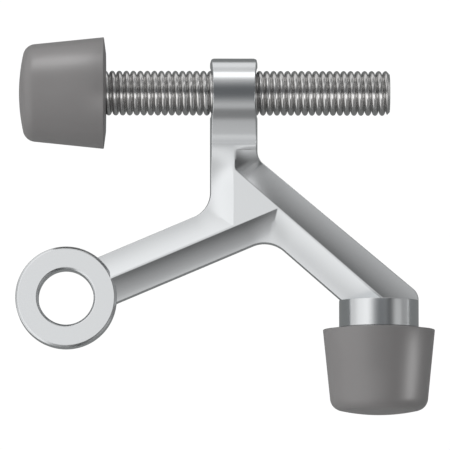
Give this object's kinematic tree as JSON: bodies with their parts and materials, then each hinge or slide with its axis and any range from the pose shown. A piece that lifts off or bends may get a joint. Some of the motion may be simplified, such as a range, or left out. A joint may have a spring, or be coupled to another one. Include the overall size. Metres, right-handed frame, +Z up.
{
  "type": "hinge pin door stop",
  "caption": "Cast metal bracket with a ring for a hinge pin, a fixed rubber tip on one arm and a threaded rod with an adjustable rubber tip through a strap on the other.",
  "frame": {"origin": "middle of the bore for the hinge pin, half way through the ring", "axes": "+Z up along the hinge pin, +Y in the plane of the casting towards the rod, +X towards the fixed tip and the free end of the rod"},
  "size_m": [0.0745, 0.0673, 0.0198],
  "materials": {
    "satin_nickel": "satin",
    "plated_steel": "satin",
    "grey_rubber": "matte"
  },
  "bodies": {
    "frame": {"cast_frame": "satin_nickel", "fixed_tip": "grey_rubber"},
    "tip": {"adjustable_tip": "grey_rubber"},
    "rod": {"adjusting_rod": "plated_steel"}
  },
  "joints": [
    {"name": "tip_travel", "type": "slide", "parent": "frame", "child": "tip", "axis": [1, 0, 0], "range_m": [-0.02251, 0.01751]},
    {"name": "rod_turn", "type": "hinge", "parent": "tip", "child": "rod", "pos_m": [0.03, 0.03668, 0], "axis": [1, 0, 0], "range_deg": [-6480, 5040]}
  ],
  "couplings": [
    {"joint": "tip_travel", "follows": "rod_turn", "m_per_rad": 0.00019894}
  ]
}
